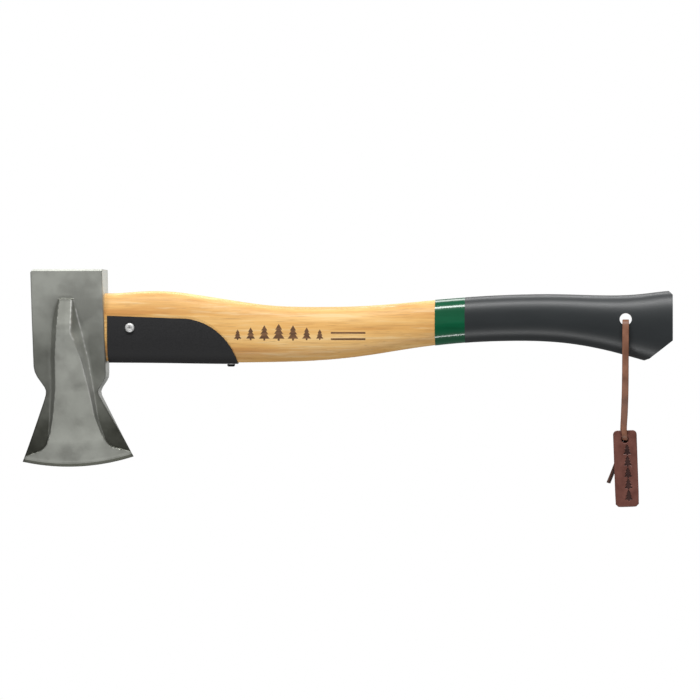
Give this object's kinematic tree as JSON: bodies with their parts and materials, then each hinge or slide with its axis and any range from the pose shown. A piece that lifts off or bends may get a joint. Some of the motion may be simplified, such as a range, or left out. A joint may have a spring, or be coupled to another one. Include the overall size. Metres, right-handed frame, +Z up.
{
  "type": "splitting hatchet",
  "caption": "Splitting hatchet: forged head with side ribs, hickory handle with guard, green band, coated grip and a leather tag on a lace.",
  "frame": {"origin": "centre of the handle's grip, on the hatchet's middle plane", "axes": "+X along the handle to the knob, +Z up past the poll (the cutting edge points down), Y across the thickness"},
  "size_m": [0.4994, 0.0488, 0.1818],
  "materials": {
    "forged_steel": "ground and clear-coated forging",
    "hickory": "oiled hickory",
    "plain_steel": "plain",
    "black_sheet": "satin powder coat",
    "screw_steel": "zinc plated",
    "black_screw": "blackened",
    "green_lacquer": "gloss lacquer",
    "grip_coat": "satin soft-touch coat",
    "lace_leather": "waxed",
    "tag_leather": "vegetable tanned"
  },
  "bodies": {
    "hatchet": {"head": "forged_steel", "handle": "hickory", "wood_wedge": "hickory", "ring_wedge": "plain_steel", "guard": "black_sheet", "guard_side_screws": "screw_steel", "guard_bottom_screw": "black_screw", "green_band": "green_lacquer", "grip_coat": "grip_coat"},
    "lanyard": {"lace": "lace_leather", "lace_knot": "lace_leather", "lace_tails": "lace_leather"},
    "tag": {"tag": "tag_leather"}
  },
  "joints": [
    {"name": "lace_swing", "type": "hinge", "parent": "hatchet", "child": "lanyard", "pos_m": [0.0626, 0, -0.0018], "axis": [0, -1, 0], "range_deg": [-60, 90]},
    {"name": "tag_swing", "type": "hinge", "parent": "lanyard", "child": "tag", "pos_m": [0.0621, 0, -0.0936], "axis": [0, -1, 0], "range_deg": [-45, 45]}
  ]
}
